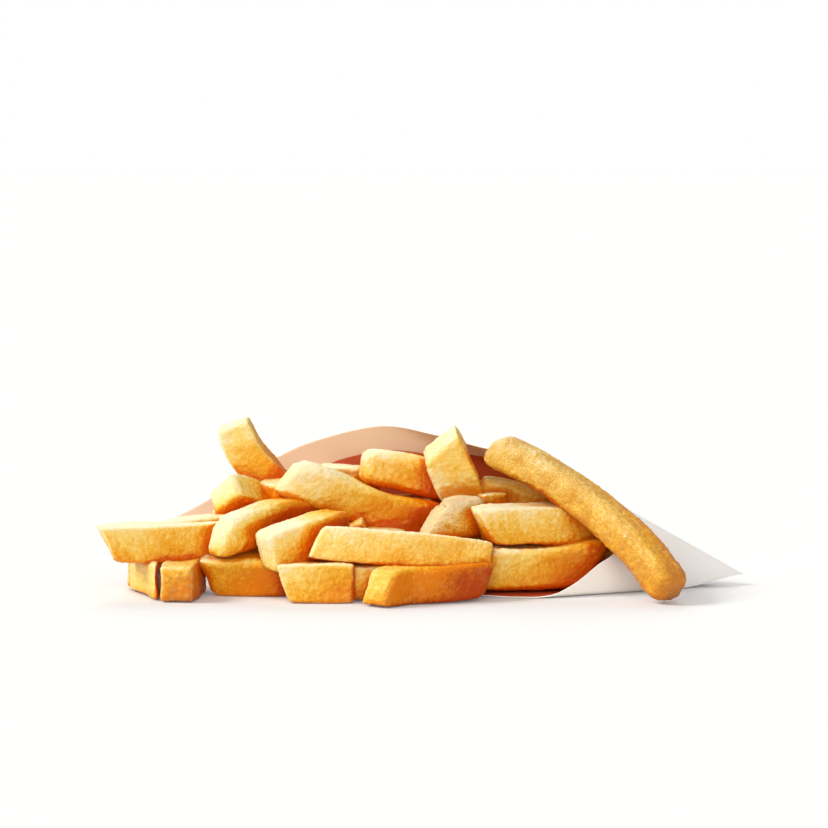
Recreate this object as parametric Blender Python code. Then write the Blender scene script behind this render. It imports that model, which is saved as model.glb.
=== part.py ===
"""French fries spilling from a paper cone that lies on its side, in metres with +Z up.

The origin is on the floor, under the middle of the whole. The cone's mouth opens to the left
and towards the viewer, at -X and -Y, and its pointed tip is at +X.
"""

import math

import bmesh
import bpy
from mathutils import Matrix, Vector

MM = 0.001

# The paper cone, in millimetres. Its mouth is a closed line of hand-placed points, and its wall
# runs from that line to the tip. The line starts at the front lip, climbs the front wall, goes
# over the ridge and down the tall back wall, and comes back along the floor under the fries.
PAPER_THICKNESS = 0.5
TIP = (87.0, 1.0, 2.8)
TIP_LIFT_LENGTH = 18.0
RIDGE_HEIGHT = 33.7
MOUTH = [
    (31.0, -22.5, 0.2),
    (39.0, -21.0, 3.0),
    (46.0, -18.0, 8.0),
    (51.4, -14.0, 12.0),
    (48.5, -9.0, 19.0),
    (41.5, -3.5, 27.0),
    (31.5, 4.0, RIDGE_HEIGHT),
    (15.6, 11.0, 36.6),
    (3.3, 17.5, 39.3),
    (-11.0, 24.0, 41.0),
    (-28.0, 30.0, 36.8),
    (-41.0, 34.0, 31.0),
    (-61.5, 37.5, 18.0),
    (-73.5, 38.0, 11.0),
    (-78.0, 36.5, 4.0),
    (-75.0, 33.0, 0.4),
    (-62.0, 26.0, 0.2),
    (-40.0, 14.0, 0.2),
    (-12.0, 1.0, 0.2),
    (5.0, -10.0, 0.2),
    (15.0, -19.5, 0.2),
]
MOUTH_STEPS = 3
WALL_ROWS = [0.0, 0.06, 0.14, 0.24, 0.35, 0.47, 0.59, 0.7, 0.8, 0.88, 0.94, 0.975]

# The fries, in millimetres. Each is a square stick with broken edges and slightly drawn-in ends.
FRY_SIDE = 9.5
EDGE_BREAK = 0.24
END_ROUNDING = 1.5
END_SCALE = 0.78
LONGEST_EDGE_SHARE = 0.2
MIDDLE_STATIONS = (0.36, 0.64)
SLANT_EASE = 2.0
ALONG_STEP = 0.03
STEEP = 0.75
SQUARE_CUT = (0.0, 0.0)


def fry(*line, width=FRY_SIDE, height=FRY_SIDE, roll=0.0, start_cut=SQUARE_CUT, end_cut=SQUARE_CUT):
    """A fry's place: the points of its middle line, its section, its roll in degrees about that
    line, and how far each end is cut on the slant, across and upwards."""
    return {
        "line": [Vector(point) for point in line],
        "width": width,
        "height": height,
        "roll": roll,
        "cuts": (start_cut, end_cut),
    }


FRIES = {
    # The spill at the left, on the bare floor
    "left_long": fry((-83.5, -19.5, 14.2), (-68, -16, 14), (-50, -9, 14.6), width=8.6, height=9.4,
                     start_cut=(0, -2.2)),
    "left_behind": fry((-69.5, -8.5, 14.2), (-57, -7, 15.6), (-44, -4, 16.2), width=8.5, height=8.4),
    "left_stub": fry((-74.3, -17.5, 5.1), (-74.8, -2, 5.4), width=9.2, height=9.8, start_cut=(-9, 0)),
    "browned_stub": fry((-64.2, -29.6, 4.9), (-62, -8, 5.2), width=8.8, height=9.5),
    "deep_orange": fry((-57.4, -14.5, 6.2), (-47, -15.5, 6.2), (-34, -17, 6.2), width=10.8, height=10.8,
                       roll=-18, start_cut=(0, -2)),
    "left_arched": fry((-54.6, -21.5, 15.4), (-46, -15.5, 17.7), (-38, -6, 19.2), (-30, 2, 19), width=9.6,
                       height=10, start_cut=(0, 2.2)),
    "left_leaning": fry((-41.2, -25, 12.4), (-31, -19, 15), (-22, -10, 17), width=9.5, height=10.8),
    # The row along the front, on the floor, and the long fry across it
    "front_short": fry((-36.5, -26, 5.2), (-27, -26, 5.2), (-18, -26, 5.2), width=10, height=10.2,
                       start_cut=(0, -1.6)),
    "front_end_on": fry((-14, -28, 4.8), (-14, -10, 4.9), width=9, height=9.2),
    "front_right": fry((-12, -36, 4.8), (-5, -29.5, 4.9), (5, -27, 4.9), (16, -23, 5.4), width=9,
                       height=9.3, start_cut=(0.5, 1.8), end_cut=(0, 1.8)),
    "front_shaded": fry((-40, -11, 5.2), (-14, -15, 5.2), width=9, height=9.4),
    "front_long": fry((-28.2, -25, 14.9), (-15, -24, 13.4), (2, -21.6, 11.8), (17, -18.6, 9.6), width=9,
                      height=8.8, roll=14, start_cut=(0, 1.6)),
    "front_corner": fry((-18, -8, 12.8), (-18, 6, 13), width=9, height=9, roll=30),
    # The top of the heap, from left to right
    "top_standing": fry((-51.6, 8, 43), (-48.4, 8.5, 35.5), (-42.6, 9, 28.5), (-36.5, 10, 22), width=9.2, height=10),
    "top_end_on": fry((-53.8, -4, 25.3), (-43.5, 5, 20.5), width=11, height=9.4, roll=42),
    "top_foot": fry((-41.5, 0, 23.5), (-33, 8, 25), width=8.6, height=9),
    "top_long": fry((-37.3, 0, 30), (-25, 1, 25.4), (-10, 3.5, 18.9), (5, 8, 16), width=10, height=11, start_cut=(0, 2)),
    "top_back": fry((-28, 15.5, 26.5), (-12, 16.5, 25.5), width=9, height=9),
    "top_orange": fry((-16.8, 10, 31.4), (-6, 11.5, 29.5), (8, 12.5, 26), width=9.8, height=10),
    "right_standing": fry((4.8, 2, 38.8), (7.6, 4, 31.5), (11.6, 6, 22.5), width=11.4, height=10.4,
                          start_cut=(-2, 0)),
    "blistered": fry((1.2, -9.5, 18.4), (8, -8, 19), (15, -2, 20), width=11, height=11, start_cut=(0, 3.5)),
    # The fries in the cone's mouth at the right, and the long one that leans on its edge
    "mouth_small": fry((14.4, 1, 21), (21.4, 4, 21), width=8.5, height=8.5),
    "mouth_back": fry((15, 8, 24.5), (26, 8, 22), (36, 7, 18)),
    "mouth_upper": fry((15.4, -14, 18), (32, -8.5, 18), (45.4, -3, 16), width=10, height=9.8, start_cut=(0, -2)),
    "mouth_lower": fry((15, -14, 6.9), (32, -12, 6.9), (46, -8, 8.4), width=11, height=11, end_cut=(0, 4), start_cut=(0, 1.6)),
    "mouth_shaded": fry((44, -1, 11), (26, 5, 10.5), width=9, height=9),
    "right_long": fry((18.6, -1, 37.7), (33.4, -6.5, 30.6), (47.7, -14.5, 20.9), (56.9, -23, 12.9),
                      (64.8, -32.5, 3.2), width=9.8, height=9.3, start_cut=(0, 1)),
    # The fries that fill the cone behind and under the others
    "filling_left_low": fry((-62, 21, 6.6), (-38, 22, 7.4)),
    "filling_left_front": fry((-58, 13, 6), (-30, 8, 7)),
    "filling_left_high": fry((-56, 12, 14), (-34, 22, 15)),
    "filling_back_high": fry((-44, 20, 21), (-26, 24, 22)),
    "filling_back_low": fry((-36, 20, 8), (-8, 14.5, 9)),
    "filling_middle_high": fry((-20, 20, 17), (4, 12, 18)),
    "filling_front": fry((-30, -4, 12), (-5, -6, 11)),
    "filling_front_low": fry((-12, -8, 7), (16, -6, 7)),
    "filling_right": fry((0, 8, 10), (28, 4, 9)),
    "filling_tip_low": fry((40, 1, 6.2), (67, 0.5, 6.2), width=8.5, height=8.5),
    "filling_tip_high": fry((43, 3, 17), (60, 1.5, 11), width=8, height=8),
}
CORE_MIDDLE = (-4.0, 4.0, 10.0)
CORE_RADII = (38.0, 13.0, 8.5)

PAPER_COLOUR = (0.86, 0.83, 0.80, 1.0)
PAPER_ROUGHNESS = 0.6
FRY_COLOUR = (0.82, 0.50, 0.14, 1.0)
FRY_ROUGHNESS = 0.5


def clear_scene():
    for item in list(bpy.data.objects):
        bpy.data.objects.remove(item, do_unlink=True)


def material(name, colour, roughness):
    made = bpy.data.materials.new(name)
    made.use_nodes = True
    shader = made.node_tree.nodes["Principled BSDF"]
    shader.inputs["Base Color"].default_value = colour
    shader.inputs["Roughness"].default_value = roughness
    made.diffuse_color = colour
    return made


def object_from(build, name):
    """An object in the scene, with the mesh that build leaves in a new bmesh in millimetres."""
    shape = bmesh.new()
    build(shape)
    bmesh.ops.scale(shape, vec=Vector((MM, MM, MM)), verts=shape.verts)
    bmesh.ops.recalc_face_normals(shape, faces=shape.faces)
    mesh = bpy.data.meshes.new(name)
    shape.to_mesh(mesh)
    shape.free()
    made = bpy.data.objects.new(name, mesh)
    bpy.context.scene.collection.objects.link(made)
    return made


def spline(before, start, end, after, share):
    """A point between start and end on the smooth curve through all four."""
    return 0.5 * (
        2 * start
        + (end - before) * share
        + (2 * before - 5 * start + 4 * end - after) * share**2
        + (3 * start - before - 3 * end + after) * share**3
    )


def closed_curve(points, steps):
    """A smooth closed line through the points, with this many steps from one to the next."""
    points = [Vector(point) for point in points]
    count = len(points)
    return [
        spline(points[i - 1], points[i], points[(i + 1) % count], points[(i + 2) % count], step / steps)
        for i in range(count)
        for step in range(steps)
    ]


def open_curve(points, share):
    """The point at this share, 0 to 1, of the smooth line through the points."""
    last = len(points) - 1
    reached = min(max(share, 0.0), 1.0) * last
    index = min(int(reached), last - 1)
    start, end = points[index], points[index + 1]
    before = points[index - 1] if index > 0 else 2 * start - end
    after = points[index + 2] if index + 2 <= last else 2 * end - start
    return spline(before, start, end, after, reached - index)


def smooth_step(value):
    value = min(max(value, 0.0), 1.0)
    return value * value * (3 - 2 * value)


def join_rings(shape, rings):
    """Faces between each ring of points and the next."""
    for near, far in zip(rings, rings[1:]):
        for i in range(len(near)):
            after = (i + 1) % len(near)
            shape.faces.new((near[i], near[after], far[after], far[i]))


def wall_point(point, share):
    """The wall's point at this share of the way from a point of the mouth to the tip. Low parts
    stay on the floor until they near the tip, and the ridge runs straight."""
    tip = Vector(TIP)
    place = point.lerp(Vector((tip.x, tip.y, 0.0)), share)
    lying = smooth_step((place.x - (tip.x - TIP_LIFT_LENGTH)) / TIP_LIFT_LENGTH)
    height = min(point.z / RIDGE_HEIGHT, 1.0)
    place.z += tip.z * (height * share + (1 - height) * lying)
    return place


def paper_wall(shape):
    """The cone's wall as one open sheet, from the mouth's line to a small closed end at the tip."""
    mouth = closed_curve(MOUTH, MOUTH_STEPS)
    rings = [[shape.verts.new(wall_point(point, share)) for point in mouth] for share in WALL_ROWS]
    join_rings(shape, rings)
    end = shape.verts.new(TIP)
    last = rings[-1]
    for i, corner in enumerate(last):
        shape.faces.new((corner, last[(i + 1) % len(last)], end))


def make_paper_cone(looks):
    cone = object_from(paper_wall, "paper_cone")
    wall = cone.modifiers.new("thickness", "SOLIDIFY")
    wall.thickness = PAPER_THICKNESS * MM
    wall.offset = -1.0
    wall.use_even_offset = True
    cone.data.materials.append(looks)
    cone.data.shade_smooth()
    return cone


def fry_section(width, height):
    """The eight corners of a stick's section: a rectangle with its corners cut off."""
    cut = EDGE_BREAK * min(width, height)
    across, up = width / 2, height / 2
    quarter = [(across, up - cut), (across - cut, up)]
    corners = quarter + [(-x, y) for x, y in reversed(quarter)]
    return corners + [(-x, -y) for x, y in corners]


def fry_builder(place):
    """A function that builds the fry of this place in a bmesh."""
    line, width, height = place["line"], place["width"], place["height"]
    length = sum((b - a).length for a, b in zip(line, line[1:]))
    edge = min(END_ROUNDING / length, LONGEST_EDGE_SHARE)
    stations = [0.0, edge, *MIDDLE_STATIONS, 1 - edge, 1.0]
    steepest = max(abs(amount) for cut in place["cuts"] for amount in cut)
    reach = min(1.0, max(MIDDLE_STATIONS[0], SLANT_EASE * steepest / length))
    steep = abs((line[-1] - line[0]).normalized().z) > STEEP
    reference = Vector((0, 1, 0)) if steep else Vector((0, 0, 1))

    def ring_at(shape, share):
        middle = open_curve(line, share)
        along = (open_curve(line, share + ALONG_STEP) - open_curve(line, share - ALONG_STEP)).normalized()
        side = along.cross(reference).normalized()
        turn = Matrix.Rotation(-math.radians(place["roll"]), 3, along)
        side, above = turn @ side, turn @ side.cross(along)
        across, upwards = SQUARE_CUT
        for cut, nearness in zip(place["cuts"], (1 - share / reach, 1 - (1 - share) / reach)):
            across += cut[0] * max(nearness, 0.0)
            upwards += cut[1] * max(nearness, 0.0)
        scale = END_SCALE if share in (0.0, 1.0) else 1.0
        ring = []
        for u, v in fry_section(width, height):
            slant = across * 2 * u / width + upwards * 2 * v / height
            ring.append(shape.verts.new(middle + (side * u + above * v) * scale + along * slant))
        return ring

    def build(shape):
        rings = [ring_at(shape, share) for share in stations]
        join_rings(shape, rings)
        shape.faces.new(rings[0])
        shape.faces.new(rings[-1])
        bmesh.ops.triangulate(shape, faces=shape.faces)

    return build


def core(shape):
    """The lump in the middle of the heap, smaller than the fries that cover it."""
    bmesh.ops.create_icosphere(shape, subdivisions=2, radius=1.0)
    bmesh.ops.scale(shape, vec=Vector(CORE_RADII), verts=shape.verts)
    bmesh.ops.translate(shape, vec=Vector(CORE_MIDDLE), verts=shape.verts)


def make_fries(looks):
    """The heap: every fry and the core, joined into one solid."""
    heap = object_from(core, "fries")
    loose = bpy.data.collections.new("loose_fries")
    bpy.context.scene.collection.children.link(loose)
    for name, place in FRIES.items():
        piece = object_from(fry_builder(place), name)
        bpy.context.scene.collection.objects.unlink(piece)
        loose.objects.link(piece)
    join = heap.modifiers.new("join", "BOOLEAN")
    join.operation = "UNION"
    join.operand_type = "COLLECTION"
    join.collection = loose
    join.solver = "MANIFOLD"
    bpy.context.view_layer.objects.active = heap
    bpy.ops.object.modifier_apply(modifier=join.name)
    for piece in list(loose.objects):
        bpy.data.objects.remove(piece, do_unlink=True)
    bpy.data.collections.remove(loose)
    heap.data.materials.clear()
    heap.data.materials.append(looks)
    return heap


clear_scene()
make_paper_cone(material("white_paper", PAPER_COLOUR, PAPER_ROUGHNESS))
make_fries(material("golden_fries", FRY_COLOUR, FRY_ROUGHNESS))
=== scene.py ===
"""French fries spilling from a white paper cone that lies on its side, built round the CAD model."""

import math

import bpy
import numpy as np
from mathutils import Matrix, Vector


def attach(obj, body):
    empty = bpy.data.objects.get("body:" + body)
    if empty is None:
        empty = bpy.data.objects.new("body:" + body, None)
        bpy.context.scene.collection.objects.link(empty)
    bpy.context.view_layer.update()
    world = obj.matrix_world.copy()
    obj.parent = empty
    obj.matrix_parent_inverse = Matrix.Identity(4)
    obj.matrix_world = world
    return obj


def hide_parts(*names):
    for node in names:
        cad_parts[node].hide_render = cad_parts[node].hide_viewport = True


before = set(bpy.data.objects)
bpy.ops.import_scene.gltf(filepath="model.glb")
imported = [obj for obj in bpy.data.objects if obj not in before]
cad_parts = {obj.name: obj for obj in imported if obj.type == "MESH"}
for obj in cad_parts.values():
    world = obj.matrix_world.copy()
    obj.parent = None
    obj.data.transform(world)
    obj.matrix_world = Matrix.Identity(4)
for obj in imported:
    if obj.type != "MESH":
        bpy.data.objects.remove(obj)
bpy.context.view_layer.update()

MM = 0.001


# Node trees

class Maker:
    """Adds nodes to a tree. An input is a socket to link from, or a value."""

    def __init__(self, tree):
        self.tree = tree

    def node(self, kind, inputs=None, **settings):
        made = self.tree.nodes.new(kind)
        for name, value in settings.items():
            setattr(made, name, value)
        for name, value in (inputs or {}).items():
            self.feed(made.inputs[name], value)
        return made

    def feed(self, socket, value):
        if isinstance(value, bpy.types.NodeSocket):
            self.tree.links.new(value, socket)
        else:
            socket.default_value = value

    def math(self, operation, *values, clamp=False):
        made = self.node("ShaderNodeMath", operation=operation, use_clamp=clamp)
        for socket, value in zip(made.inputs, values):
            self.feed(socket, value)
        return made.outputs[0]

    def total(self, first, *others):
        for other in others:
            first = self.math("ADD", first, other)
        return first

    def about_zero(self, value, middle, amount):
        """The value less its middle, times this amount."""
        return self.math("MULTIPLY", self.math("SUBTRACT", value, middle), amount)

    def vector(self, operation, *values):
        made = self.node("ShaderNodeVectorMath", operation=operation)
        for socket, value in zip(made.inputs, values):
            self.feed(socket, value)
        return made.outputs["Value" if operation == "DOT_PRODUCT" else "Vector"]

    def scaled(self, vector, amount):
        made = self.node("ShaderNodeVectorMath", {0: vector, "Scale": amount}, operation="SCALE")
        return made.outputs["Vector"]

    def parts(self, vector):
        return self.node("ShaderNodeSeparateXYZ", {0: vector}).outputs

    def whole(self, x, y, z):
        return self.node("ShaderNodeCombineXYZ", {0: x, 1: y, 2: z}).outputs[0]

    def ramp(self, value, low, high, start=0.0, end=1.0):
        made = self.node("ShaderNodeMapRange", {
            "Value": value, "From Min": low, "From Max": high, "To Min": start, "To Max": end})
        made.interpolation_type = "SMOOTHSTEP"
        return made.outputs[0]

    def noise(self, vector, scale, detail=2.0, roughness=0.5):
        return self.node("ShaderNodeTexNoise", {
            "Vector": vector, "Scale": scale, "Detail": detail, "Roughness": roughness}).outputs[0]

    def cells(self, vector, scale):
        return self.node("ShaderNodeTexVoronoi", {
            "Vector": vector, "Scale": scale, "Smoothness": 0.5}, feature="SMOOTH_F1").outputs["Distance"]

    def colour_mix(self, share, first, second):
        return self.node("ShaderNodeMix", {0: share, 6: first, 7: second}, data_type="RGBA").outputs[2]

    def store(self, shape, name, value, data_type="FLOAT"):
        """The shape with the value kept on each of its points, under this name."""
        return self.node("GeometryNodeStoreNamedAttribute", {
            "Geometry": shape, "Name": name, "Value": value}, data_type=data_type,
            domain="POINT").outputs["Geometry"]


def new_group(name, kind, inputs, outputs):
    """A node group with these named inputs, as (name, socket type, default), and outputs."""
    tree = bpy.data.node_groups.new(name, kind)
    for label, socket_type, default in inputs:
        socket = tree.interface.new_socket(label, in_out="INPUT", socket_type=socket_type)
        if default is not None:
            socket.default_value = default
    for label, socket_type in outputs:
        tree.interface.new_socket(label, in_out="OUTPUT", socket_type=socket_type)
    return tree, Maker(tree)


def new_material(name):
    """A material, the maker of its nodes and its shader."""
    made = bpy.data.materials.new(name)
    made.use_nodes = True
    return made, Maker(made.node_tree), made.node_tree.nodes["Principled BSDF"]


def set_input(modifier, name, value):
    """Sets a modifier's input by its socket's identifier."""
    for socket in modifier.node_group.interface.items_tree:
        if socket.item_type == "SOCKET" and socket.in_out == "INPUT" and socket.name == name:
            modifier[socket.identifier] = value
            return
    raise KeyError(name)


# Objects

def new_object(name, data):
    made = bpy.data.objects.new(name, data)
    bpy.context.scene.collection.objects.link(made)
    return made


def select_only(pieces):
    bpy.ops.object.select_all(action="DESELECT")
    for piece in pieces:
        piece.select_set(True)
    bpy.context.view_layer.objects.active = pieces[0]


def joined(name, pieces):
    """The pieces as one object."""
    select_only(pieces)
    bpy.ops.object.join()
    made = bpy.context.view_layer.objects.active
    made.name = name
    made.data.name = name
    return made


def copy_of(piece):
    return new_object(piece.name + "_copy", piece.data.copy())


def plain_mesh(piece):
    """The piece's mesh with its modifiers' work in it."""
    bpy.context.view_layer.update()
    graph = bpy.context.evaluated_depsgraph_get()
    return bpy.data.meshes.new_from_object(piece.evaluated_get(graph), depsgraph=graph)


# Lines

def spline(before, start, end, after, share):
    """A point between start and end on the smooth curve through all four."""
    return 0.5 * (
        2 * start
        + (end - before) * share
        + (2 * before - 5 * start + 4 * end - after) * share**2
        + (3 * start - before - 3 * end + after) * share**3
    )


def closed_curve(points, steps):
    """A smooth closed line through the points, with this many steps from one to the next."""
    points = [Vector(point) for point in points]
    count = len(points)
    return [
        spline(points[i - 1], points[i], points[(i + 1) % count], points[(i + 2) % count], step / steps)
        for i in range(count)
        for step in range(steps)
    ]


def open_curve(points, share):
    """The point at this share, 0 to 1, of the smooth line through the points."""
    last = len(points) - 1
    reached = min(max(share, 0.0), 1.0) * last
    index = min(int(reached), last - 1)
    start, end = points[index], points[index + 1]
    before = points[index - 1] if index > 0 else 2 * start - end
    after = points[index + 2] if index + 2 <= last else 2 * end - start
    return spline(before, start, end, after, reached - index)


def smooth_step(value):
    value = min(max(value, 0.0), 1.0)
    return value * value * (3 - 2 * value)


# The fries, in millimetres

FRY_SIDE = 9.5
SQUARE_CUT = (0.0, 0.0)


def fry(*line, width=FRY_SIDE, height=FRY_SIDE, roll=0.0, start_cut=SQUARE_CUT, end_cut=SQUARE_CUT,
        tone=(0.35, 0.45), blisters=0.15, rounding=1.0, seed=0):
    """A fry: the points of its middle line and its section in millimetres, its roll in degrees, the
    slants of its two cut ends, the tone of each end from 0 to 1, for how deeply it is fried with
    painted shade added where the fry lies in shade, how blistered it is and how round its edges are."""
    return {
        "line": [Vector(point) for point in line],
        "width": width,
        "height": height,
        "roll": roll,
        "cuts": (start_cut, end_cut),
        "tone": tone,
        "blisters": blisters,
        "rounding": rounding,
        "seed": seed,
    }


SPILLED = {
    "left_long": fry((-83.5, -19.5, 14.2), (-68, -16, 14), (-50, -9, 14.6), width=8.6, height=9.4,
                     start_cut=(0, -2.2), tone=(0.3, 0.42), seed=1),
    "left_behind": fry((-69.5, -8.5, 14.2), (-57, -7, 15.6), (-44, -4, 16.2), width=8.5, height=8.4,
                       tone=(0.35, 0.35), seed=2),
    "left_stub": fry((-74.3, -17.5, 5.1), (-74.8, -2, 5.4), width=9.2, height=9.8, start_cut=(-9, 0),
                     tone=(0.4, 0.6), rounding=1.3, seed=3),
    "browned_stub": fry((-64.2, -29.6, 4.9), (-62, -8, 5.2), width=8.8, height=9.5, tone=(0.75, 0.6),
                        blisters=0.5, rounding=1.1, seed=4),
    "deep_orange": fry((-57.4, -14.5, 6.2), (-47, -15.5, 6.2), (-34, -17, 6.2), width=10.8, height=10.8,
                       roll=-18, start_cut=(0, -2), tone=(0.45, 1.1), rounding=2.0, seed=5),
    "left_arched": fry((-54.6, -21.5, 15.4), (-46, -15.5, 17.7), (-38, -6, 19.2), (-30, 2, 19), width=9.6,
                       height=10, start_cut=(0, 2.2), tone=(0.12, 1.2), rounding=3.4, seed=6),
    "left_leaning": fry((-41.2, -25, 12.4), (-31, -19, 15), (-22, -10, 17), width=9.5, height=10.8,
                        tone=(0.05, 1.1), rounding=1.6, seed=7),
    "front_short": fry((-36.5, -26, 5.2), (-27, -26, 5.2), (-18, -26, 5.2), width=10, height=10.2,
                       start_cut=(0, -1.6), tone=(0.35, 0.75), seed=8),
    "front_end_on": fry((-14, -28, 4.8), (-14, -10, 4.9), width=9, height=9.2, tone=(0.5, 0.5), seed=9),
    "front_right": fry((-12, -36, 4.8), (-5, -29.5, 4.9), (5, -27, 4.9), (16, -23, 5.4), width=9,
                       height=9.3, start_cut=(0.5, 1.8), end_cut=(0, 1.8), tone=(0.68, 1.6), rounding=1.9,
                       seed=10),
    "front_shaded": fry((-40, -11, 5.2), (-14, -15, 5.2), width=9, height=9.4, tone=(0.7, 0.7), seed=11),
    "front_long": fry((-28.2, -25, 14.9), (-15, -24, 13.4), (2, -21.6, 11.8), (17, -18.6, 9.6), width=9,
                      height=8.8, roll=14, start_cut=(0, 1.6), tone=(0.34, 0.5), seed=12),
    "front_corner": fry((-18, -8, 12.8), (-18, 6, 13), width=9, height=9, roll=30, tone=(0.8, 0.8),
                        seed=13),
}

TOP = {
    "top_standing": fry((-51.6, 8, 43), (-48.4, 8.5, 35.5), (-42.6, 9, 28.5), (-36.5, 10, 22), width=9.2,
                        height=10, tone=(0.1, 1.1), seed=14),
    "top_end_on": fry((-53.8, -4, 25.3), (-43.5, 5, 20.5), width=11, height=9.4, roll=42, tone=(0.22, 0.5),
                      blisters=0.3, rounding=2.0, seed=15),
    "top_foot": fry((-41.5, 0, 23.5), (-33, 8, 25), width=8.6, height=9, tone=(0.5, 0.8), seed=16),
    "top_long": fry((-37.3, 0, 30), (-25, 1, 25.4), (-10, 3.5, 18.9), (5, 8, 16), width=10, height=11,
                    start_cut=(0, 2), tone=(0.02, 1.1), rounding=2.8, seed=17),
    "top_back": fry((-28, 15.5, 26.5), (-12, 16.5, 25.5), width=9, height=9, tone=(0.2, 0.3), seed=18),
    "top_orange": fry((-16.8, 10, 31.4), (-6, 11.5, 29.5), (8, 12.5, 26), width=9.8, height=10,
                      tone=(0.25, 0.8), rounding=2.8, seed=19),
    "right_standing": fry((4.8, 2, 38.8), (7.6, 4, 31.5), (11.6, 6, 22.5), width=11.4, height=10.4,
                          start_cut=(-2, 0), tone=(0.2, -0.1), rounding=1.8, seed=20),
    "blistered": fry((1.2, -9.5, 18.4), (8, -8, 19), (15, -2, 20), width=11, height=11, start_cut=(0, 3.5),
                     tone=(0.0, 0.0), blisters=0.8, rounding=3.6, seed=21),
}

IN_THE_MOUTH = {
    "mouth_small": fry((14.4, 1, 21), (21.4, 4, 21), width=8.5, height=8.5, tone=(0.4, 0.6), seed=23),
    "mouth_back": fry((15, 8, 24.5), (26, 8, 22), (36, 7, 18), tone=(0.4, 0.6), rounding=2.2, seed=24),
    "mouth_upper": fry((15.4, -14, 18), (32, -8.5, 18), (45.4, -3, 16), width=10, height=9.8,
                       start_cut=(0, -2), tone=(0.22, 0.12), seed=25),
    "mouth_lower": fry((15, -14, 6.9), (32, -12, 6.9), (46, -8, 8.4), width=11, height=11, end_cut=(0, 4),
                       start_cut=(0, 1.6), tone=(0.3, 0.85), blisters=0.4, rounding=2.2, seed=26),
    "mouth_shaded": fry((44, -1, 11), (26, 5, 10.5), width=9, height=9, tone=(0.7, 0.7), seed=27),
    "right_long": fry((18.6, -1, 37.7), (33.4, -6.5, 30.6), (47.7, -14.5, 20.9), (56.9, -23, 12.9),
                      (64.8, -32.5, 3.2), width=9.8, height=9.3, start_cut=(0, 1), tone=(0.5, 0.95),
                      blisters=1.0, rounding=3.4, seed=28),
}

FILLING = {
    "filling_left_low": fry((-62, 21, 6.6), (-38, 22, 7.4), seed=31),
    "filling_left_front": fry((-58, 13, 6), (-30, 8, 7), seed=32),
    "filling_left_high": fry((-56, 12, 14), (-34, 22, 15), seed=33),
    "filling_back_high": fry((-44, 20, 21), (-26, 24, 22), seed=34),
    "filling_back_low": fry((-36, 20, 8), (-8, 14.5, 9), seed=35),
    "filling_middle_high": fry((-20, 20, 17), (4, 12, 18), seed=36),
    "filling_front": fry((-30, -4, 12), (-5, -6, 11), seed=37),
    "filling_front_low": fry((-12, -8, 7), (16, -6, 7), seed=38),
    "filling_right": fry((0, 8, 10), (28, 4, 9), seed=39),
    "filling_tip_low": fry((40, 1, 6.2), (67, 0.5, 6.2), width=8.5, height=8.5, seed=40),
    "filling_tip_high": fry((43, 3, 17), (60, 1.5, 11), width=8, height=8, seed=41),
    "core_left_low": fry((-42, 3, 6.5), (-10, 2, 6.5), seed=42),
    "core_left_high": fry((-36, 8, 15.5), (-6, 9, 16), seed=43),
    "core_middle_low": fry((-16, 10, 6.5), (16, 3, 6.5), seed=44),
    "core_middle": fry((-14, 5, 9.5), (14, 5, 9.5), seed=45),
    "core_right_high": fry((12, 5, 14), (40, 3, 13), width=9, height=9, seed=46),
}

# How finely each fry's faces are divided, and the space kept over the floor
GRID_SHOWN = 0.45
GRID_FILLING = 0.9
GRID_ROUGH = 2.4
FLOOR_GAP = 0.05

# A grown fry is a little fuller than its named size, because its faces sink and its edges are round
FULLER = 1.05
LINE_STEPS = 48
STEEP = 0.75
SLANT_REACH = 0.36
SLANT_SPREAD = 2.0
SUNKEN_FACES = 0.07
END_TAPER = 0.07
END_TAPER_REACH = 6.0

# How far the crust's relief stands out. A more blistered fry has fewer lumps.
LUMPS = 1.6
LUMPS_LOST = 0.8
BLISTER_LEAST = 0.08
BLISTER_MORE = 0.22
BLISTER_FULL = 0.3
BROWN_BLISTERS = (0.14, 0.3)
GRAIN = 0.2
RAGGED_EDGES = 0.6
RAGGED_REACH = 1.5
RAGGED_LEVEL = 0.32

# The relief's patterns: cells in a millimetre, and then detail and roughness
LUMP_PATTERN = (0.12, 1.0)
LUMP_STRETCH = (0.45, 1.0, 1.0)
PATCH_PATTERN = (0.13, 1.0)
PATCH_RANGE = (0.42, 0.62)
BUBBLE_SCALE = 0.6
BUBBLE_RANGE = (0.05, 0.62)
GRAIN_PATTERN = (0.8, 3.0, 0.65)
RAGGED_PATTERN = (1.2, 2.0, 0.6)
SEED_STEPS = (37.0, 11.0, 23.0)

# Painted light and shade: a fry is paler where it faces this side, where the light comes from,
# and darker in colour where it faces away from it
PAINTED_LIGHT_SIDE = Vector((-0.62, -0.2, 0.76)).normalized()
PAINTED_SHADING_NEUTRAL = 0.38
PAINTED_SHADING_TURN = 1.1
PAINTED_SHADING_TONE = 0.42
PAINTED_SHADING_ACROSS = 0.9

# Edges rounder than this have no pale rim
SHARP_EDGE = 1.3

# The distances at which the gaps round a fry are felt for its painted gap shade, each with its share
REACHES = ((2.0, 0.2), (4.5, 0.35), (10.0, 0.45))


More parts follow.
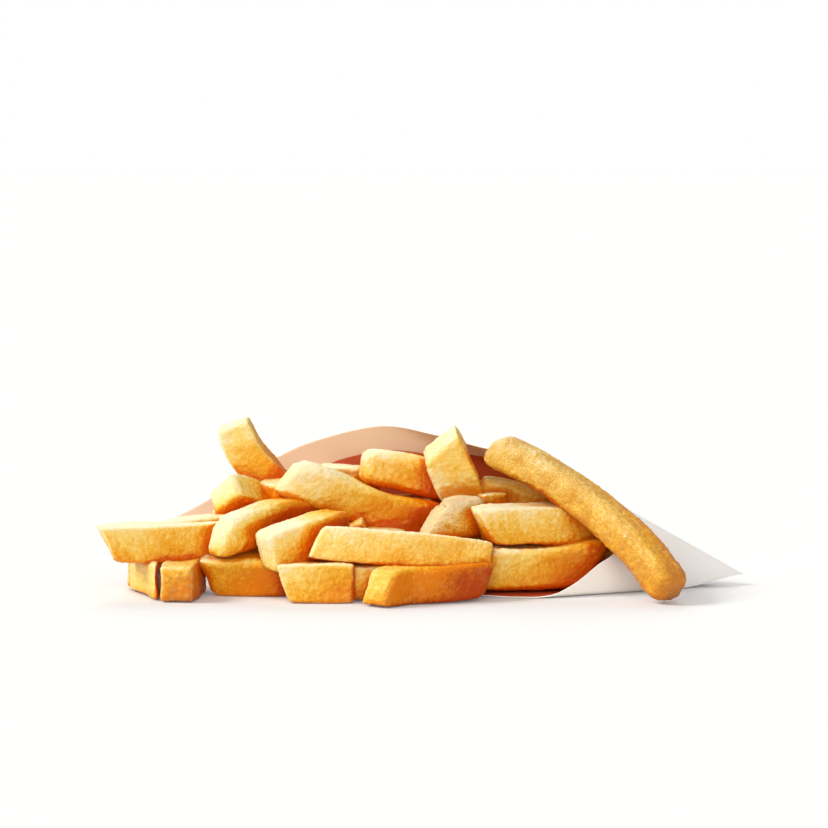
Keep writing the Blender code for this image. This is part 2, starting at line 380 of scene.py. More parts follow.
def fry_tree():
    """The tree that grows one fry along a line: a box with a fine grid is rounded, bent along the
    line and cut at a slant, and then gets its crust."""
    tree, make = new_group("fry", "GeometryNodeTree", [
        ("Line", "NodeSocketGeometry", None),
        ("Width", "NodeSocketFloat", FRY_SIDE * MM),
        ("Height", "NodeSocketFloat", FRY_SIDE * MM),
        ("Roll", "NodeSocketFloat", 0.0),
        ("Reference", "NodeSocketVector", (0.0, 0.0, 1.0)),
        ("Start cut", "NodeSocketVector", (0.0, 0.0, 0.0)),
        ("End cut", "NodeSocketVector", (0.0, 0.0, 0.0)),
        ("Slant reach", "NodeSocketFloat", SLANT_REACH),
        ("Grid", "NodeSocketFloat", GRID_SHOWN * MM),
        ("Edge radius", "NodeSocketFloat", SHARP_EDGE * MM),
        ("Sunken faces", "NodeSocketFloat", SUNKEN_FACES),
        ("End taper", "NodeSocketFloat", END_TAPER),
        ("Lumps", "NodeSocketFloat", LUMPS * MM),
        ("Blisters", "NodeSocketFloat", BLISTER_LEAST * MM),
        ("Grain", "NodeSocketFloat", GRAIN * MM),
        ("Ragged edges", "NodeSocketFloat", RAGGED_EDGES * MM),
        ("Start tone", "NodeSocketFloat", 0.4),
        ("End tone", "NodeSocketFloat", 0.4),
        ("Underside tone", "NodeSocketFloat", PAINTED_SHADING_TONE),
        ("Seed", "NodeSocketFloat", 0.0),
        ("Material", "NodeSocketMaterial", None),
    ], [("Fry", "NodeSocketGeometry")])
    tree.is_modifier = True
    given = make.node("NodeGroupInput").outputs
    half_width = make.math("DIVIDE", given["Width"], 2.0)
    half_height = make.math("DIVIDE", given["Height"], 2.0)
    length = make.node("GeometryNodeCurveLength", {0: given["Line"]}).outputs[0]
    half_length = make.math("DIVIDE", length, 2.0)

    def grid_count(size):
        return make.math("ADD", make.math("ROUND", make.math("DIVIDE", size, given["Grid"])), 2.0)

    box = make.node("GeometryNodeMeshCube", {
        "Size": make.whole(length, given["Width"], given["Height"]),
        "Vertices X": grid_count(length),
        "Vertices Y": grid_count(given["Width"]),
        "Vertices Z": grid_count(given["Height"]),
    }).outputs["Mesh"]
    place = make.node("GeometryNodeInputPosition").outputs[0]

    # How far each point is from the box's sides, and so from its nearest edge and end
    half = make.whole(half_length, half_width, half_height)
    inset = make.vector("SUBTRACT", half, make.vector("ABSOLUTE", place))
    inset_x, inset_y, inset_z = make.parts(inset)
    widest = make.math("MAXIMUM", inset_x, make.math("MAXIMUM", inset_y, inset_z))
    to_edge = make.math("SUBTRACT", make.total(inset_x, make.total(inset_y, inset_z)), widest)
    x, y, z = make.parts(place)
    share = make.math("ADD", make.math("DIVIDE", x, length), 0.5)
    shift = make.whole(*(make.math("MULTIPLY", given["Seed"], step) for step in SEED_STEPS))
    pattern = make.vector("ADD", make.scaled(place, 1 / MM), shift)

    def in_mm(value):
        return make.math("MULTIPLY", value, 1 / MM)

    past_sharp = make.math("SUBTRACT", in_mm(given["Edge radius"]), SHARP_EDGE)
    extra_rounding = make.math("MAXIMUM", past_sharp, 0.0)
    shape = make.store(box, "fry_place", pattern, "FLOAT_VECTOR")
    shape = make.store(shape, "fry_edge", make.total(in_mm(to_edge), extra_rounding))
    shape = make.store(shape, "fry_end", in_mm(inset_x))
    browned = make.ramp(given["Blisters"], *(size * MM for size in BROWN_BLISTERS))
    shape = make.store(shape, "fry_brown", browned)
    # The tone along the fry: how deeply it is fried, with painted shade added
    tone = make.ramp(share, 0.0, 1.0, given["Start tone"], given["End tone"])

    # The box's edges are rounded and its sides sink a little between them
    radius = make.whole(given["Edge radius"], given["Edge radius"], given["Edge radius"])
    inner = make.vector("SUBTRACT", half, radius)
    held = make.vector("MINIMUM", make.vector("MAXIMUM", place, make.scaled(inner, -1.0)), inner)
    outward = make.vector("NORMALIZE", make.vector("SUBTRACT", place, held))
    rounded = make.vector("ADD", held, make.scaled(outward, given["Edge radius"]))
    round_x, round_y, round_z = make.parts(rounded)

    def sunken(value, other, other_half):
        across = make.math("DIVIDE", other, other_half)
        middle = make.math("SUBTRACT", 1.0, make.math("MULTIPLY", across, across))
        kept = make.math("SUBTRACT", 1.0, make.math("MULTIPLY", given["Sunken faces"], middle))
        return make.math("MULTIPLY", value, kept)

    near_end = make.ramp(inset_x, 0.0, END_TAPER_REACH * MM, 1.0, 0.0)
    taper = make.math("SUBTRACT", 1.0, make.math("MULTIPLY", given["End taper"], near_end))
    sunk_y = make.math("MULTIPLY", sunken(round_y, round_z, half_height), taper)
    sunk_z = make.math("MULTIPLY", sunken(round_z, round_y, half_width), taper)

    # The whole is bent along the line, turned by the roll and slanted at the ends
    line = make.node("GeometryNodeSampleCurve", mode="LENGTH", use_all_curves=True)
    make.feed(line.inputs["Curves"], given["Line"])
    make.feed(line.inputs["Length"], make.math("ADD", round_x, half_length))
    along = line.outputs["Tangent"]
    side = make.vector("NORMALIZE", make.vector("CROSS_PRODUCT", along, given["Reference"]))
    above = make.vector("CROSS_PRODUCT", side, along)

    def rolled(direction):
        turn = make.node("ShaderNodeVectorRotate", {
            "Vector": direction, "Axis": along, "Angle": given["Roll"]}, rotation_type="AXIS_ANGLE")
        return turn.outputs[0]

    def slanted(cut, to_cut):
        across, upwards = make.parts(cut)[:2]
        both = make.total(make.math("MULTIPLY", across, make.math("DIVIDE", y, half_width)),
                          make.math("MULTIPLY", upwards, make.math("DIVIDE", z, half_height)))
        felt = make.math("SUBTRACT", 1.0, make.math("DIVIDE", to_cut, given["Slant reach"]), clamp=True)
        return make.math("MULTIPLY", both, felt)

    slant = make.total(slanted(given["Start cut"], share),
                       slanted(given["End cut"], make.math("SUBTRACT", 1.0, share)))
    bent = line.outputs["Position"]
    for direction, amount in ((rolled(side), sunk_y), (rolled(above), sunk_z), (along, slant)):
        bent = make.vector("ADD", bent, make.scaled(direction, amount))
    offset = make.vector("SUBTRACT", bent, line.outputs["Position"])
    # Painted light: the part of the section toward the light gets a paler tone
    toward_light = make.math("DIVIDE", make.vector("DOT_PRODUCT", offset, tuple(PAINTED_LIGHT_SIDE)), half_height)
    paler = make.math("MULTIPLY", toward_light, make.math("MULTIPLY", given["Underside tone"], PAINTED_SHADING_ACROSS))
    shape = make.store(shape, "fry_tone", make.math("SUBTRACT", tone, paler))
    shape = make.node("GeometryNodeSetPosition", {"Geometry": shape, "Position": bent}).outputs[0]
    shape = make.node("GeometryNodeFlipFaces", {0: shape}).outputs[0]

    # The crust: slow lumps, blisters in patches, a fine grain and ragged long edges
    stretched = make.vector("MULTIPLY", pattern, LUMP_STRETCH)
    near_edge = make.ramp(to_edge, 0.0, RAGGED_REACH * MM, 1.0, 0.0)
    patches = make.ramp(make.noise(pattern, *PATCH_PATTERN), *PATCH_RANGE)
    bubbles = make.ramp(make.cells(pattern, BUBBLE_SCALE), *BUBBLE_RANGE, 1.0, 0.0)
    blisters = make.math("MULTIPLY", bubbles, patches)
    ragged = make.about_zero(make.noise(pattern, *RAGGED_PATTERN), RAGGED_LEVEL, near_edge)
    relief = make.total(
        make.about_zero(make.noise(stretched, *LUMP_PATTERN), 0.5, given["Lumps"]),
        make.math("MULTIPLY", blisters, given["Blisters"]),
        make.about_zero(make.noise(pattern, *GRAIN_PATTERN), 0.5, given["Grain"]),
        make.math("MULTIPLY", ragged, given["Ragged edges"]),
    )
    blistered = make.math("MULTIPLY", blisters, make.math(
        "DIVIDE", given["Blisters"], BLISTER_FULL * MM), clamp=True)
    shape = make.store(shape, "fry_blister", blistered)
    normal = make.node("GeometryNodeInputNormal").outputs[0]
    shape = make.node("GeometryNodeSetPosition", {
        "Geometry": shape, "Offset": make.scaled(normal, relief)}).outputs[0]

    # Painted shade: what faces away from the light gets a darker tone, and nothing goes under the floor
    facing_light = make.vector("DOT_PRODUCT", normal, tuple(PAINTED_LIGHT_SIDE))
    away_from_light = make.math("MULTIPLY", make.math("SUBTRACT", PAINTED_SHADING_NEUTRAL, facing_light), PAINTED_SHADING_TURN)
    deeper = make.math("MULTIPLY", away_from_light, given["Underside tone"])
    so_far = make.node("GeometryNodeInputNamedAttribute", {"Name": "fry_tone"}, data_type="FLOAT")
    shape = make.store(shape, "fry_tone", make.total(so_far.outputs[0], deeper))
    settled = make.vector("MAXIMUM", place, (-1.0, -1.0, FLOOR_GAP * MM))
    shape = make.node("GeometryNodeSetPosition", {"Geometry": shape, "Position": settled}).outputs[0]
    shape = make.node("GeometryNodeRealizeInstances", {0: shape}).outputs[0]
    shape = make.node("GeometryNodeSetShadeSmooth", {0: shape}).outputs[0]
    shape = make.node("GeometryNodeSetMaterial", {"Geometry": shape, "Material": given["Material"]})
    make.node("NodeGroupOutput", {0: shape.outputs[0]})
    return tree


def line_object(name, points):
    """A finely stepped curve through the points, in metres."""
    curve = bpy.data.curves.new(name, "CURVE")
    curve.dimensions = "3D"
    path = curve.splines.new("POLY")
    path.points.add(LINE_STEPS)
    for i in range(LINE_STEPS + 1):
        point = open_curve(points, i / LINE_STEPS) * MM
        path.points[i].co = (point.x, point.y, point.z, 1.0)
    return new_object(name, curve)


def slant_reach(place):
    """How far along the fry, as a share of it, a slanted end is felt. A steep slant reaches further."""
    line = place["line"]
    length = sum((b - a).length for a, b in zip(line, line[1:]))
    steepest = max(abs(amount) for cut in place["cuts"] for amount in cut)
    return min(1.0, max(SLANT_REACH, SLANT_SPREAD * steepest / length))


def grown_fry(name, place, tree, looks, grid):
    """One fry as a plain mesh object."""
    points = place["line"]
    line = line_object(name + "_line", points)
    grow = line.modifiers.new("fry", "NODES")
    grow.node_group = tree
    steep = abs((points[-1] - points[0]).normalized().z) > STEEP
    start_cut, end_cut = place["cuts"]
    blisters = place["blisters"]
    values = {
        "Width": place["width"] * FULLER * MM,
        "Height": place["height"] * FULLER * MM,
        "Roll": -math.radians(place["roll"]),
        "Reference": (0.0, 1.0, 0.0) if steep else (0.0, 0.0, 1.0),
        "Start cut": [start_cut[0] * MM, start_cut[1] * MM, 0.0],
        "End cut": [end_cut[0] * MM, end_cut[1] * MM, 0.0],
        "Slant reach": slant_reach(place),
        "Grid": grid * MM,
        "Edge radius": place["rounding"] * MM,
        "End taper": END_TAPER,
        "Sunken faces": SUNKEN_FACES,
        "Lumps": (LUMPS - LUMPS_LOST * blisters) * MM,
        "Blisters": (BLISTER_LEAST + BLISTER_MORE * blisters) * MM,
        "Grain": GRAIN * MM,
        "Ragged edges": RAGGED_EDGES * MM,
        "Start tone": place["tone"][0],
        "End tone": place["tone"][1],
        "Underside tone": PAINTED_SHADING_TONE,
        "Seed": float(place["seed"]),
        "Material": looks,
    }
    for label, value in values.items():
        set_input(grow, label, value)
    made = new_object(name, plain_mesh(line))
    bpy.data.objects.remove(line, do_unlink=True)
    return made


def closeness_tree():
    """The tree that stores how closely the heap and the paper stand round each point, 0 to 1. It
    looks out from the surface by a few distances, and sees how much nearer the next surface is."""
    tree, make = new_group("closeness", "GeometryNodeTree", [
        ("Geometry", "NodeSocketGeometry", None),
        ("Around", "NodeSocketObject", None),
    ], [("Geometry", "NodeSocketGeometry")])
    tree.is_modifier = True
    given = make.node("NodeGroupInput").outputs
    place = make.node("GeometryNodeInputPosition").outputs[0]
    normal = make.node("GeometryNodeInputNormal").outputs[0]
    around = make.node("GeometryNodeObjectInfo", {"Object": given["Around"]}).outputs["Geometry"]
    enclosed = 0.0
    for reach, weight in REACHES:
        ahead = make.vector("ADD", place, make.scaled(normal, reach * MM))
        near = make.node("GeometryNodeProximity", {0: around, "Sample Position": ahead},
                         target_element="FACES").outputs["Distance"]
        hidden = make.math("SUBTRACT", 1.0, make.math("DIVIDE", near, reach * MM), clamp=True)
        enclosed = make.total(enclosed, make.math("MULTIPLY", hidden, weight))
    make.node("NodeGroupOutput", {0: make.store(given["Geometry"], "fry_enclosed", enclosed)})
    return tree


def store_closeness(piece, closeness, around):
    """Gives a finished piece its fry_enclosed values, as plain mesh data."""
    look = piece.modifiers.new("closeness", "NODES")
    look.node_group = closeness
    set_input(look, "Around", around)
    mesh = plain_mesh(piece)
    piece.modifiers.remove(look)
    piece.data = mesh
    mesh.name = piece.name


# The fried crust's colours, from the palest to the deepest fried, and those of spots and gaps. The
# palest and darkest steps also stand for painted light and shade, and the gap colour is painted shade
CRUST_COLOURS = {
    "Cream": (0.88, 0.76, 0.48, 1.0),
    "Pale": (0.90, 0.62, 0.15, 1.0),
    "Golden": (0.83, 0.41, 0.02, 1.0),
    "Deep": (0.72, 0.20, 0.0, 1.0),
    "Darkest": (0.45, 0.05, 0.0, 1.0),
    "Browned": (0.47, 0.22, 0.05, 1.0),
    "Hidden": (0.75, 0.16, 0.0, 1.0),
}
TONE_STEPS = (("Pale", -0.15, 0.3), ("Golden", 0.2, 0.6), ("Deep", 0.5, 1.0), ("Darkest", 1.1, 1.9))
GAP_SHADE_DEPTH = 1.2

# The crust's patterns: cells in a millimetre, detail and roughness
CLOUDS = (0.16, 2.0, 0.55)
MOTTLE = (0.8, 3.0, 0.6)
STREAKS = (1.1, 2.0, 0.6)
STREAK_STRETCH = (1.0, 0.3, 0.3)
SPECKLE = (2.2, 2.0, 0.6)
PORES = (1.8, 3.0, 0.7)
PITS = 1.3
RIM_SPOTS = (1.0, 3.0, 0.65)
END_SPOTS = (0.42, 3.0, 0.65)

# How much each pattern changes the tone
CLOUDS_TONE = 0.5
MOTTLE_TONE = 0.35
STREAKS_TONE = 0.45
SPECKLE_TONE = 0.8

# The pale rims of long edges: their reach in millimetres, the tones where they fade, and their gaps
RIM_REACH = (0.2, 0.75)
RIM_FADE = (0.3, 0.75, 0.85, 0.15)
RIM_GAPS = (0.36, 0.56)

# The spots of cut ends: their reach in millimetres, their gaps, where they turn brown, and their share
END_REACH = (0.2, 1.8)
END_GAPS = (0.42, 0.66)
END_BROWNING = (0.55, 0.75)
END_SHARE = 0.4

# The blisters' paleness, gloss and oil, and the brown patches of the most blistered fries
BLISTER_PALENESS = 0.35
BLISTER_GLOSS = 0.14
BLISTER_OIL = 0.5
LEAST_OIL = 0.06
BROWN_CLOUDS = 0.4
BROWN_SPECKLE = 0.6
BROWN_GAPS = (0.3, 0.62)
BROWN_SHARE = 0.6

# How enclosed a place is where painted gap shade starts to darken it, and where it takes the gap colour
GAP_SHADE_START = (0.25, 0.9)
GAP_SHADE_COLOUR_START = (0.5, 1.0, 0.0, 0.7)

CRUST_ROUGHNESS = (0.3, 0.7, 0.36, 0.52)
PORES_RELIEF = 0.6
STREAKS_RELIEF = 0.5
PITS_RELIEF = 0.3


def crust_group():
    """The fried crust's colour, with its painted light and shade, roughness and fine relief, from
    the fry's own attributes.
    """
    tree, make = new_group("fried_crust", "ShaderNodeTree", [
        *((name, "NodeSocketColor", colour) for name, colour in CRUST_COLOURS.items()),
        ("Gaps", "NodeSocketFloat", GAP_SHADE_DEPTH),
    ], [
        ("Colour", "NodeSocketColor"),
        ("Roughness", "NodeSocketFloat"),
        ("Relief", "NodeSocketFloat"),
        ("Oil", "NodeSocketFloat"),
    ])
    given = make.node("NodeGroupInput").outputs

    def read(name, output="Fac"):
        return make.node("ShaderNodeAttribute", attribute_name=name).outputs[output]

    place = read("fry_place", "Vector")
    edge = read("fry_edge")
    end = read("fry_end")
    tone = read("fry_tone")
    blister = read("fry_blister")
    brown = read("fry_brown")
    enclosed = read("fry_enclosed")
    clouds = make.noise(place, *CLOUDS)
    mottle = make.noise(place, *MOTTLE)
    streaks = make.noise(make.vector("MULTIPLY", place, STREAK_STRETCH), *STREAKS)
    speckle = make.noise(place, *SPECKLE)
    varied = make.total(
        tone,
        make.about_zero(clouds, 0.5, CLOUDS_TONE),
        make.about_zero(mottle, 0.5, MOTTLE_TONE),
        make.about_zero(streaks, 0.5, STREAKS_TONE),
        make.about_zero(speckle, 0.5, SPECKLE_TONE),
    )
    colour = given["Cream"]
    for name, low, high in TONE_STEPS:
        colour = make.colour_mix(make.ramp(varied, low, high), colour, given[name])

    # Long edges are paler in patches, less so where the fry is deeply fried
    rim = make.math("MULTIPLY", make.ramp(edge, *RIM_REACH, 1.0, 0.0), make.ramp(tone, *RIM_FADE))
    rim_spots = make.ramp(make.noise(place, *RIM_SPOTS), *RIM_GAPS)
    colour = make.colour_mix(make.math("MULTIPLY", rim, rim_spots), colour, given["Cream"])

    # Cut ends have pale spots, or browned ones where the fry is deeply fried
    end_spots = make.math("MULTIPLY", make.ramp(end, *END_REACH, 1.0, 0.0),
                          make.ramp(make.noise(place, *END_SPOTS), *END_GAPS))
    end_colour = make.colour_mix(make.ramp(tone, *END_BROWNING), given["Pale"], given["Browned"])
    colour = make.colour_mix(make.math("MULTIPLY", end_spots, END_SHARE), colour, end_colour)
    colour = make.colour_mix(make.math("MULTIPLY", blister, BLISTER_PALENESS), colour, given["Pale"])

    # The most blistered are browner in patches
    dark = make.ramp(make.total(make.math("MULTIPLY", clouds, BROWN_CLOUDS),
                                make.math("MULTIPLY", speckle, BROWN_SPECKLE)), *BROWN_GAPS)
    brown_patches = make.math("MULTIPLY", make.math("MULTIPLY", dark, brown), BROWN_SHARE)
    colour = make.colour_mix(brown_patches, colour, given["Browned"])

    # Painted shade and bounce light: the more enclosed a place, the darker and redder its colour
    deepening = make.math("MULTIPLY", make.ramp(enclosed, *GAP_SHADE_START), given["Gaps"])
    deeper = make.node("ShaderNodeGamma", {"Color": colour, "Gamma": make.math("ADD", 1.0, deepening)})
    colour = make.colour_mix(make.ramp(enclosed, *GAP_SHADE_COLOUR_START), deeper.outputs[0], given["Hidden"])

    roughness = make.math("SUBTRACT", make.ramp(mottle, *CRUST_ROUGHNESS),
                          make.math("MULTIPLY", blister, BLISTER_GLOSS))
    relief = make.total(
        make.math("MULTIPLY", make.noise(place, *PORES), PORES_RELIEF),
        make.math("MULTIPLY", streaks, STREAKS_RELIEF),
        make.math("MULTIPLY", make.cells(place, PITS), PITS_RELIEF),
    )
    oil = make.total(LEAST_OIL, make.math("MULTIPLY", blister, BLISTER_OIL))
    make.node("NodeGroupOutput", {0: colour, 1: roughness, 2: relief, 3: oil})
    return tree


def fried_potato(crust):
    """Fried potato: a thin crust with a soft, faintly see-through inside and a little oil."""
    made, make, shader = new_material("fried_potato")
    looks = make.node("ShaderNodeGroup", node_tree=crust)
    for name, colour in CRUST_COLOURS.items():
        make.feed(looks.inputs[name], colour)
    make.feed(looks.inputs["Gaps"], GAP_SHADE_DEPTH)
    make.feed(shader.inputs["Base Color"], looks.outputs["Colour"])
    make.feed(shader.inputs["Roughness"], looks.outputs["Roughness"])
    make.feed(shader.inputs["Coat Weight"], looks.outputs["Oil"])
    bump = make.node("ShaderNodeBump", {
        "Strength": 0.8, "Distance": 0.3 * MM, "Height": looks.outputs["Relief"]})
    make.feed(shader.inputs["Normal"], bump.outputs[0])
    shader.inputs["Subsurface Weight"].default_value = 0.3
    shader.inputs["Subsurface Radius"].default_value = (1.0, 0.6, 0.3)
    shader.inputs["Subsurface Scale"].default_value = 2.0 * MM
    shader.inputs["IOR"].default_value = 1.45
    shader.inputs["Specular IOR Level"].default_value = 0.15
    shader.inputs["Coat Roughness"].default_value = 0.22
    return made


# The paper cone, in millimetres

PAPER_THICKNESS = 0.3
TIP = (87.0, 1.0, 2.8)
TIP_WALL = (0.8, 0.0, 0.0)
TIP_LIFT_LENGTH = 18.0
RIDGE_HEIGHT = 33.7
MOUTH = [
    (31.0, -22.5, 0.2),
    (39.0, -21.0, 3.0),
    (46.0, -18.0, 8.0),
    (51.4, -14.0, 12.0),
    (48.5, -9.0, 19.0),
    (41.5, -3.5, 27.0),
    (31.5, 4.0, RIDGE_HEIGHT),
    (15.6, 11.0, 36.6),
    (3.3, 17.5, 39.3),
    (-11.0, 24.0, 41.0),
    (-28.0, 30.0, 36.8),
    (-41.0, 34.0, 31.0),
    (-61.5, 37.5, 18.0),
    (-73.5, 38.0, 11.0),
    (-78.0, 36.5, 4.0),
    (-75.0, 33.0, 0.4),
    (-62.0, 26.0, 0.2),
    (-40.0, 14.0, 0.2),
    (-12.0, 1.0, 0.2),
    (5.0, -10.0, 0.2),
    (15.0, -19.5, 0.2),
]
MOUTH_STEPS = 12
WALL_STEPS = 110
CLOSER_AT_MOUTH = 1.15
FAR_FROM_MOUTH = 150.0


def wall_point(point, share):
    """The wall's point at this share of the way from a point of the mouth to the tip."""
    tip = Vector(TIP)
    place = point.lerp(Vector((tip.x, tip.y, 0.0)), share)
    lying = smooth_step((place.x - (tip.x - TIP_LIFT_LENGTH)) / TIP_LIFT_LENGTH)
    height = min(point.z / RIDGE_HEIGHT, 1.0)
    place.z += tip.z * (height * share + (1 - height) * lying)
    place.z = max(place.z, FLOOR_GAP)
    return place


def inner_wall(outer, closing):
    """The wall's points moved inwards by the paper's thickness."""
    down = np.empty_like(outer)
    down[:-1] = outer[1:] - outer[:-1]
    down[-1] = closing - outer[-1]
    across = np.roll(outer, -1, axis=1) - np.roll(outer, 1, axis=1)
    normals = np.cross(across, down)
    normals /= np.linalg.norm(normals, axis=2, keepdims=True)
    if np.sum(normals * (outer - outer.mean(axis=1, keepdims=True))) < 0:
        normals = -normals
    return outer - normals * PAPER_THICKNESS


def wall_faces(rows, around):
    """The faces of the outer sheet, then of the inner one, then of the cut edge round the mouth."""
    outer, inner, rim = [], [], []
    for sheet, faces in enumerate((outer, inner)):
        start = sheet * rows * around
        end = 2 * rows * around + sheet
        for i in range(rows):
            here = start + i * around
            for j in range(around):
                k = (j + 1) % around
                beyond = [end] if i == rows - 1 else [here + around + k, here + around + j]
                face = [here + j, here + k, *beyond]
                faces.append(face if sheet == 0 else face[::-1])
    for j in range(around):
        k = (j + 1) % around
        rim.append([j, rows * around + j, rows * around + k, k])
    return outer, inner, rim


def make_paper_cone(outside, inside):
    """The cone's wall, finer and thinner than in the CAD model. Its two sides are separate sheets
    that meet in a narrow cut edge round the mouth."""
    mouth = closed_curve(MOUTH, MOUTH_STEPS)
    shares = [(i / WALL_STEPS) ** CLOSER_AT_MOUTH for i in range(WALL_STEPS)]
    wall = np.array([[wall_point(point, share) for point in mouth] for share in shares])
    closing = np.array(TIP)
    outer_points = wall.reshape(-1, 3)
    inner_points = inner_wall(wall, closing).reshape(-1, 3)
    points = np.concatenate([outer_points, inner_points, [closing], [closing - TIP_WALL]])
    outer, inner, rim = wall_faces(len(shares), len(mouth))
    mesh = bpy.data.meshes.new("paper_cone_sheet")
    mesh.from_pydata((points * MM).tolist(), [], outer + inner + rim)
    mesh.update()
    from_mouth = np.array([np.linalg.norm(wall[0] - point, axis=1).min() for point in outer_points])
    values = np.concatenate([from_mouth, from_mouth, [FAR_FROM_MOUTH] * 2]).astype(np.float32)
    mesh.attributes.new("from_mouth", "FLOAT", "POINT").data.foreach_set("value", values)
    mesh.polygons.foreach_set("use_smooth", [True] * len(mesh.polygons))
    mesh.materials.append(outside)
    mesh.materials.append(inside)
    mesh.polygons.foreach_set("material_index", [0] * len(outer) + [1] * len(inner) + [0] * len(rim))
    made = new_object("paper_cone_sheet", mesh)
    select_only([made])
    bpy.ops.object.mode_set(mode="EDIT")
    bpy.ops.mesh.select_all(action="SELECT")
    bpy.ops.mesh.normals_make_consistent(inside=False)
    bpy.ops.object.mode_set(mode="OBJECT")
    return made


# The paper's patterns, in cells in a metre, and its colours
FIBRES = (1600.0, 3.0, 0.6)
PAPER_CLOUDS = (60.0, 2.0)
WHITE = ((0.84, 0.81, 0.785, 1.0), (0.81, 0.78, 0.755, 1.0))
BOUNCE_WARMED_WHITE = (0.95, 0.89, 0.81, 1.0)
RED = ((0.58, 0.085, 0.022, 1.0), (0.52, 0.07, 0.018, 1.0))
# The pale band, tinted warm and darker by painted bounce light and shade from the fries
PALE_BAND_WITH_BOUNCE = ((0.78, 0.55, 0.38, 1.0), (0.75, 0.52, 0.35, 1.0))

# Painted bounce light: the paper is warmed from the mouth on, as if lit by the fries, over these distances
BOUNCE_WARMED_REACH = (6.0, 26.0)
BOUNCE_WARMED_SHARE = 0.7
CLOUDED = (0.7, 1.3)
WHITE_ROUGHNESS = (0.3, 0.7, 0.52, 0.62)
RED_ROUGHNESS = 0.5

# The pale band's width in millimetres, from left to right, and the height where it runs out
BAND_LEFT = (-62 * MM, -22 * MM, 20.0, 6.9)
BAND_RIGHT = (0.0, 22 * MM, 0.0, 2.6)
BAND_FOOT = (2 * MM, 12 * MM)
BAND_EDGE = 0.4


def paper_fibre_group():
    """The fine fibres and slow clouds that both faces of the paper share."""
    tree, make = new_group("paper_fibre", "ShaderNodeTree", [
        ("Place", "NodeSocketVector", None),
    ], [
        ("Fibre", "NodeSocketFloat"),
        ("Cloud", "NodeSocketFloat"),
    ])
    place = make.node("NodeGroupInput").outputs["Place"]
    make.node("NodeGroupOutput", {0: make.noise(place, *FIBRES), 1: make.noise(place, *PAPER_CLOUDS)})
    return tree


def new_paper(name, fibre_group):
    """A paper material with its fibres in relief. Returns it, its maker and shader, and the place,
    fibre, cloud and distance from the mouth to colour it by."""
    made, make, shader = new_material(name)
    place = make.node("ShaderNodeTexCoord").outputs["Object"]
    looks = make.node("ShaderNodeGroup", node_tree=fibre_group)
    make.feed(looks.inputs["Place"], place)
    fibre, cloud = looks.outputs["Fibre"], looks.outputs["Cloud"]
    bump = make.node("ShaderNodeBump", {"Strength": 0.25, "Distance": 0.05 * MM, "Height": fibre})
    make.feed(shader.inputs["Normal"], bump.outputs[0])
    from_mouth = make.node("ShaderNodeAttribute", attribute_name="from_mouth").outputs["Fac"]
    return made, make, shader, (place, fibre, cloud, from_mouth)


def white_paper(fibre_group):
    made, make, shader, (_, fibre, cloud, from_mouth) = new_paper("white_paper", fibre_group)
    colour = make.colour_mix(make.ramp(make.total(fibre, cloud), *CLOUDED), *WHITE)
    # Painted bounce light from the fries, warmest at the mouth
    bounce_warmed = make.ramp(from_mouth, *BOUNCE_WARMED_REACH, BOUNCE_WARMED_SHARE, 0.0)
    make.feed(shader.inputs["Base Color"], make.colour_mix(bounce_warmed, colour, BOUNCE_WARMED_WHITE))
    make.feed(shader.inputs["Roughness"], make.ramp(cloud, *WHITE_ROUGHNESS))
    return made


def red_lining(fibre_group):
    """The cone's inside: red, with the pale band along the rim, tinted by painted bounce light and shade."""
    made, make, shader, (place, fibre, _, from_mouth) = new_paper("red_lining", fibre_group)
    across, _, height = make.parts(place)
    width = make.math("SUBTRACT", make.ramp(across, *BAND_LEFT), make.ramp(across, *BAND_RIGHT))
    width = make.math("MULTIPLY", width, make.ramp(height, *BAND_FOOT))
    past_band = make.ramp(make.math("SUBTRACT", from_mouth, width), 0.0, BAND_EDGE)
    red = make.colour_mix(fibre, *RED)
    pale = make.colour_mix(fibre, *PALE_BAND_WITH_BOUNCE)
    make.feed(shader.inputs["Base Color"], make.colour_mix(past_band, pale, red))
    shader.inputs["Roughness"].default_value = RED_ROUGHNESS
    return made


# The studio

EYE_HEIGHT = 5.42
EYE_DISTANCE = 0.75
LOOK_AT = Vector((-0.0024, 0.0, 0.0465))
VIEW_ANGLE = 16.9
NEAREST_SEEN = 0.01
FURTHEST_SEEN = 100.0
FLOOR_HALF_SIDE = 12.0
FLOOR_HEIGHT = -0.0001
FLOOR_WHITE = 0.72
FLOOR_GLOW = 0.08
SURROUND = 0.4
PURE_WHITE = (1.0, 1.0, 1.0, 1.0)
LIGHT_COLOUR = (1.0, 0.98, 0.95)

# Each light's direction that it comes from, its strength, and its width in degrees
LIGHTS = {
    "key": ((-0.76, -0.1, 0.64), 2.4, 24.0),
    "back": ((-0.1, 0.75, 0.65), 1.1, 40.0),
    "fill": ((0.0, -0.9, 0.4), 1.5, 60.0),
}


def make_camera():
    lens = bpy.data.cameras.new("camera")
    lens.sensor_fit = "HORIZONTAL"
    lens.angle = math.radians(VIEW_ANGLE)
    lens.clip_start = NEAREST_SEEN
    lens.clip_end = FURTHEST_SEEN
    camera = new_object("camera", lens)
    tilt = math.radians(EYE_HEIGHT)
    camera.location = LOOK_AT + EYE_DISTANCE * Vector((0.0, -math.cos(tilt), math.sin(tilt)))
    camera.rotation_euler = (math.pi / 2 - tilt, 0.0, 0.0)
    bpy.context.scene.camera = camera


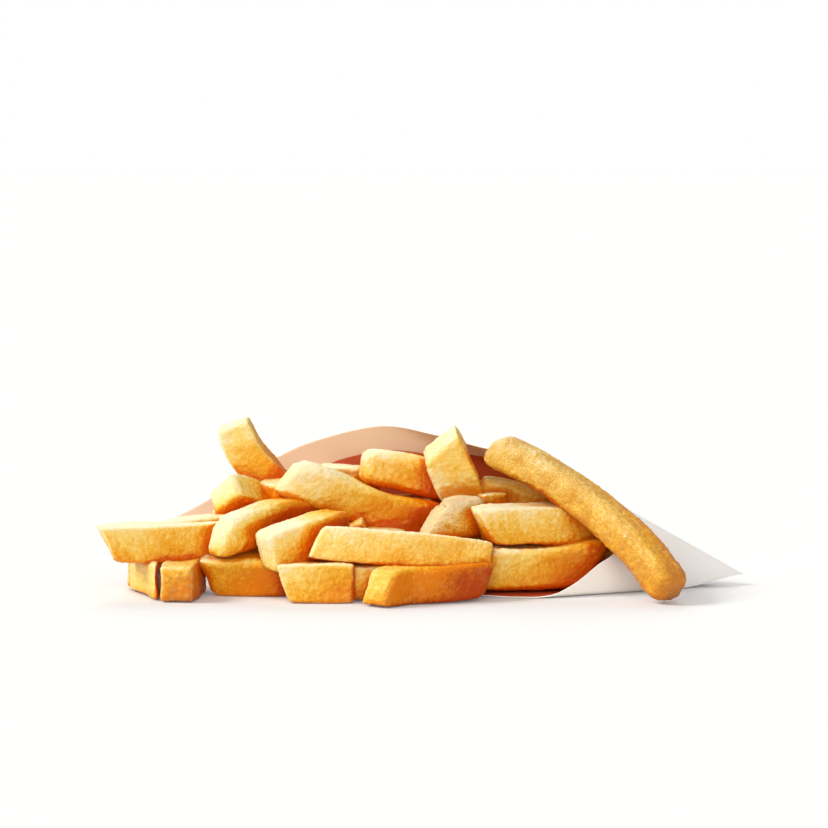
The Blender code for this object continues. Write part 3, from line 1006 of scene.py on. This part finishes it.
def make_floor():
    """A wide white floor. It glows a little for the camera alone, so that it stays white away from
    the shadows and casts no glow up on the fries."""
    mesh = bpy.data.meshes.new("floor")
    side = FLOOR_HALF_SIDE
    corners = [(x, y, FLOOR_HEIGHT) for x, y in ((-side, -side), (side, -side), (side, side), (-side, side))]
    mesh.from_pydata(corners, [], [(0, 1, 2, 3)])
    floor = new_object("floor", mesh)
    white, make, shader = new_material("white_floor")
    shader.inputs["Base Color"].default_value = (FLOOR_WHITE, FLOOR_WHITE, FLOOR_WHITE, 1.0)
    shader.inputs["Roughness"].default_value = 0.9
    shader.inputs["Specular IOR Level"].default_value = 0.0
    shader.inputs["Emission Color"].default_value = PURE_WHITE
    seen = make.node("ShaderNodeLightPath").outputs["Is Camera Ray"]
    make.feed(shader.inputs["Emission Strength"], make.math("MULTIPLY", seen, FLOOR_GLOW))
    mesh.materials.append(white)


def make_surroundings():
    """Even white light from all round. The camera sees it as plain white."""
    world = bpy.data.worlds.new("white_surroundings")
    world.use_nodes = True
    make = Maker(world.node_tree)
    surround = world.node_tree.nodes["Background"]
    surround.inputs["Color"].default_value = PURE_WHITE
    seen = make.node("ShaderNodeLightPath").outputs["Is Camera Ray"]
    make.feed(surround.inputs["Strength"], make.ramp(seen, 0.0, 1.0, SURROUND, 1.0))
    bpy.context.scene.world = world


def make_lights():
    """Wide soft lights, each of the same strength everywhere."""
    for name, (direction, strength, angle) in LIGHTS.items():
        lamp = bpy.data.lights.new(name, "SUN")
        lamp.energy = strength
        lamp.angle = math.radians(angle)
        lamp.color = LIGHT_COLOUR
        made = new_object(name, lamp)
        made.rotation_euler = Vector(direction).to_track_quat("Z", "Y").to_euler()


make_camera()
make_floor()
make_surroundings()
make_lights()
bpy.context.scene.view_settings.view_transform = "Standard"
bpy.context.scene.view_settings.look = "None"

tree = fry_tree()
closeness = closeness_tree()
potato = fried_potato(crust_group())
fibre_group = paper_fibre_group()


def fry_piece(name, places, grid):
    pieces = [grown_fry(label, place, tree, potato, grid) for label, place in places.items()]
    return joined(name, pieces)


def finished_fries(name, places, grid):
    piece = fry_piece(name, places, grid)
    store_closeness(piece, closeness, rough_heap)
    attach(piece, "root")
    return piece


paper = make_paper_cone(white_paper(fibre_group), red_lining(fibre_group))
rough_heap = joined("rough_heap", [
    fry_piece("rough_fries", {**SPILLED, **TOP, **IN_THE_MOUTH, **FILLING}, GRID_ROUGH),
    copy_of(paper),
])
spilled = finished_fries("spilled_fries", SPILLED, GRID_SHOWN)
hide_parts("fries")
finished_fries("top_fries", TOP, GRID_SHOWN)
finished_fries("mouth_fries", IN_THE_MOUTH, GRID_SHOWN)
finished_fries("filling_fries", FILLING, GRID_FILLING)
bpy.data.objects.remove(rough_heap, do_unlink=True)

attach(paper, "root")
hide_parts("paper_cone")
